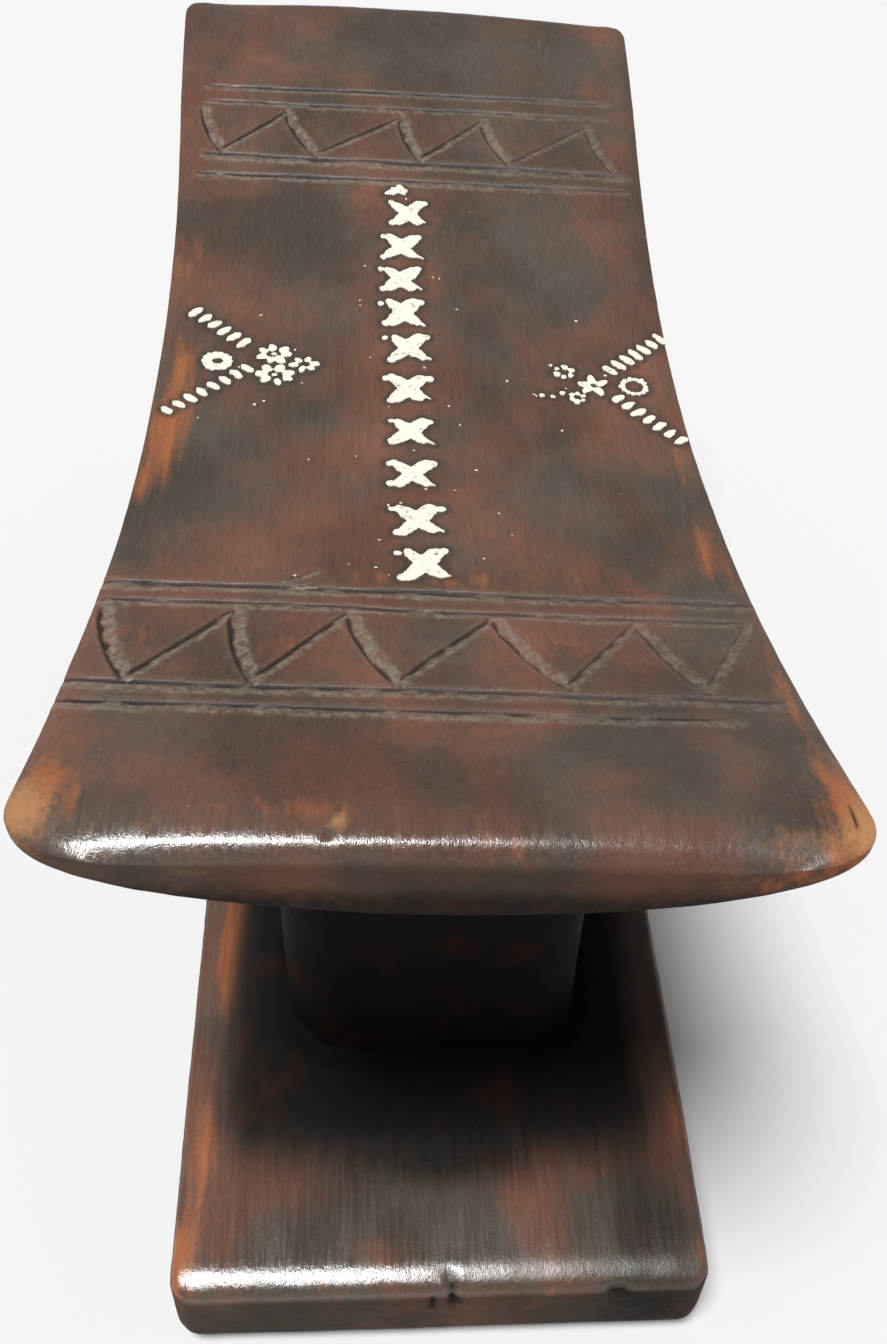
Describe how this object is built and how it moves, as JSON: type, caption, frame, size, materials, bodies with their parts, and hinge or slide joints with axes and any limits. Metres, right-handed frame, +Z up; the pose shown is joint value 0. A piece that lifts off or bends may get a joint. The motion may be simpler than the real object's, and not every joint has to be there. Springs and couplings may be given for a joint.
{
  "type": "headrest",
  "caption": "Carved wooden headrest: a dished platform with engraved borders and white lime inlay, on one broad post and a flat base.",
  "frame": {"origin": "middle of the underside of the base, under the middle of the platform, on the surface it stands on", "axes": "+Z up, +Y along the platform's length towards the end that is a little higher, +X across it towards the lower long side"},
  "size_m": [0.0894, 0.213, 0.136],
  "materials": {
    "stained_wood": "satin, dark brown stain over red-brown wood, worn at the edges, grain along the length",
    "lime_paste": "matt, chalky white"
  },
  "bodies": {
    "root": {"carved_body": "stained_wood", "cross_inlay_01": "lime_paste", "cross_inlay_02": "lime_paste", "cross_inlay_03": "lime_paste", "cross_inlay_04": "lime_paste", "cross_inlay_05": "lime_paste", "cross_inlay_06": "lime_paste", "cross_inlay_07": "lime_paste", "cross_inlay_08": "lime_paste", "cross_inlay_09": "lime_paste", "cross_inlay_10": "lime_paste", "cross_inlay_11": "lime_paste", "left_lower_dash_01": "lime_paste", "left_lower_dash_02": "lime_paste", "left_lower_dash_03": "lime_paste", "left_lower_dash_04": "lime_paste", "left_lower_dash_05": "lime_paste", "left_lower_dash_06": "lime_paste", "left_lower_dash_07": "lime_paste", "left_lower_dash_08": "lime_paste", "left_ring_inlay": "lime_paste", "left_rosette_01": "lime_paste", "left_rosette_02": "lime_paste", "left_rosette_03": "lime_paste", "left_upper_dash_01": "lime_paste", "left_upper_dash_02": "lime_paste", "left_upper_dash_03": "lime_paste", "left_upper_dash_04": "lime_paste", "left_upper_dash_05": "lime_paste", "left_upper_dash_06": "lime_paste", "right_lower_dash_01": "lime_paste", "right_lower_dash_02": "lime_paste", "right_lower_dash_03": "lime_paste", "right_lower_dash_04": "lime_paste", "right_lower_dash_05": "lime_paste", "right_lower_dash_06": "lime_paste", "right_lower_dash_07": "lime_paste", "right_ring_inlay": "lime_paste", "right_rosette_01": "lime_paste", "right_rosette_02": "lime_paste", "right_star_inlay": "lime_paste", "right_tail_dot_01": "lime_paste", "right_tail_dot_02": "lime_paste", "right_tail_dot_03": "lime_paste", "right_upper_dash_01": "lime_paste", "right_upper_dash_02": "lime_paste", "right_upper_dash_03": "lime_paste", "right_upper_dash_04": "lime_paste", "right_upper_dash_05": "lime_paste", "right_upper_dash_06": "lime_paste", "right_upper_dash_07": "lime_paste"}
  },
  "joints": []
}
